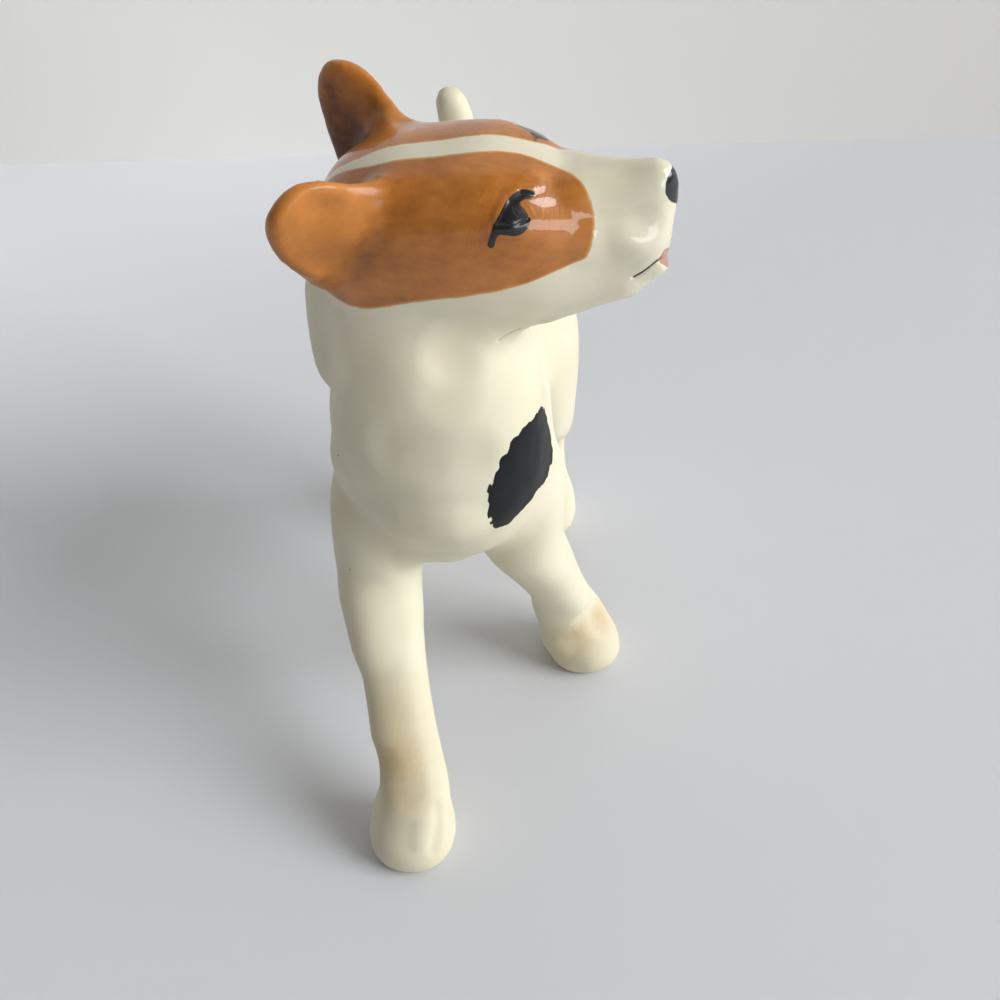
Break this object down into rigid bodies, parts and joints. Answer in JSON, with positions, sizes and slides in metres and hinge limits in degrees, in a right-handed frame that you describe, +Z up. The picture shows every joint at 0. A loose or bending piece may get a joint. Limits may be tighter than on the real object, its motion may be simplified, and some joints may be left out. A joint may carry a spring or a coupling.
{
  "type": "dog figurine",
  "caption": "Glazed earthenware terrier standing with its head turned to its left, cast hollow body and head with luted ears, tongue, legs and tail.",
  "frame": {"origin": "middle of the object's box, on the plane that the four soles stand on", "axes": "-Y is the way the dog's body faces, +X is the dog's left side and the way its head looks, +Z is up"},
  "size_m": [0.052, 0.0994, 0.1166],
  "materials": {
    "white_glaze": "gloss",
    "brown_glaze": "gloss",
    "pink_glaze": "gloss"
  },
  "bodies": {
    "root": {"torso": "white_glaze", "head": "white_glaze", "tongue": "pink_glaze", "ear_left": "brown_glaze", "ear_right": "brown_glaze", "foreleg_right": "white_glaze", "foreleg_left": "white_glaze", "hindleg_right": "white_glaze", "hindleg_left": "white_glaze", "tail": "white_glaze"}
  },
  "joints": []
}
